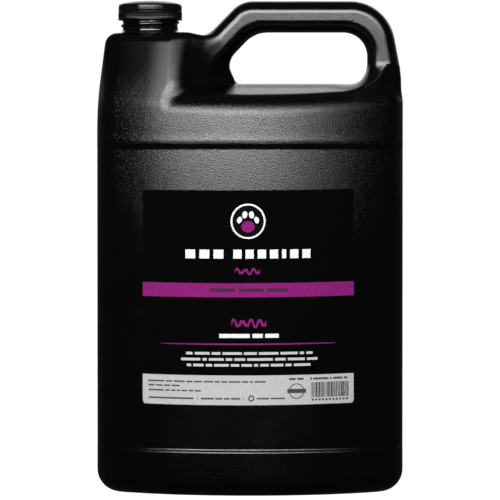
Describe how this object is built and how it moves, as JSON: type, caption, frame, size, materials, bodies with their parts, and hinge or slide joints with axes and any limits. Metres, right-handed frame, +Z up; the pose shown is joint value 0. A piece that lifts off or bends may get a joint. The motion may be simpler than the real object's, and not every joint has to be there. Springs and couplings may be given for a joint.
{
  "type": "gallon jug with screw cap",
  "caption": "Blow-moulded gallon jug with an integral side handle, a threaded neck, a ribbed screw cap with a liner, and a label on its bowed front.",
  "frame": {"origin": "middle of the base, on the surface that the jug stands on", "axes": "+Z up, +X from the neck towards the handle's end, -Y out of the labelled front"},
  "size_m": [0.192, 0.106, 0.3077],
  "materials": {
    "jug": "black blow-moulded polyethylene, satin with a fine sand grain",
    "cap": "black injection-moulded polypropylene, fine ribs",
    "liner": "off-white polyethylene foam",
    "label": "black film with a magenta band and a pale grey panel, plain bars in place of words"
  },
  "bodies": {
    "jug": {"jug_shell": "jug", "front_label": "label"},
    "liner": {"cap_liner": "liner"},
    "cap": {"screw_cap": "cap"}
  },
  "joints": [
    {"name": "cap_lift", "type": "slide", "parent": "jug", "child": "liner", "axis": [0, 0, 1], "range_m": [0, 0.01165]},
    {"name": "cap_turn", "type": "hinge", "parent": "liner", "child": "cap", "pos_m": [-0.0627, 0, 0.3005], "axis": [0, 0, 1], "range_deg": [0, 990]}
  ],
  "couplings": [
    {"joint": "cap_lift", "follows": "cap_turn", "m_per_rad": 0.0006737}
  ]
}
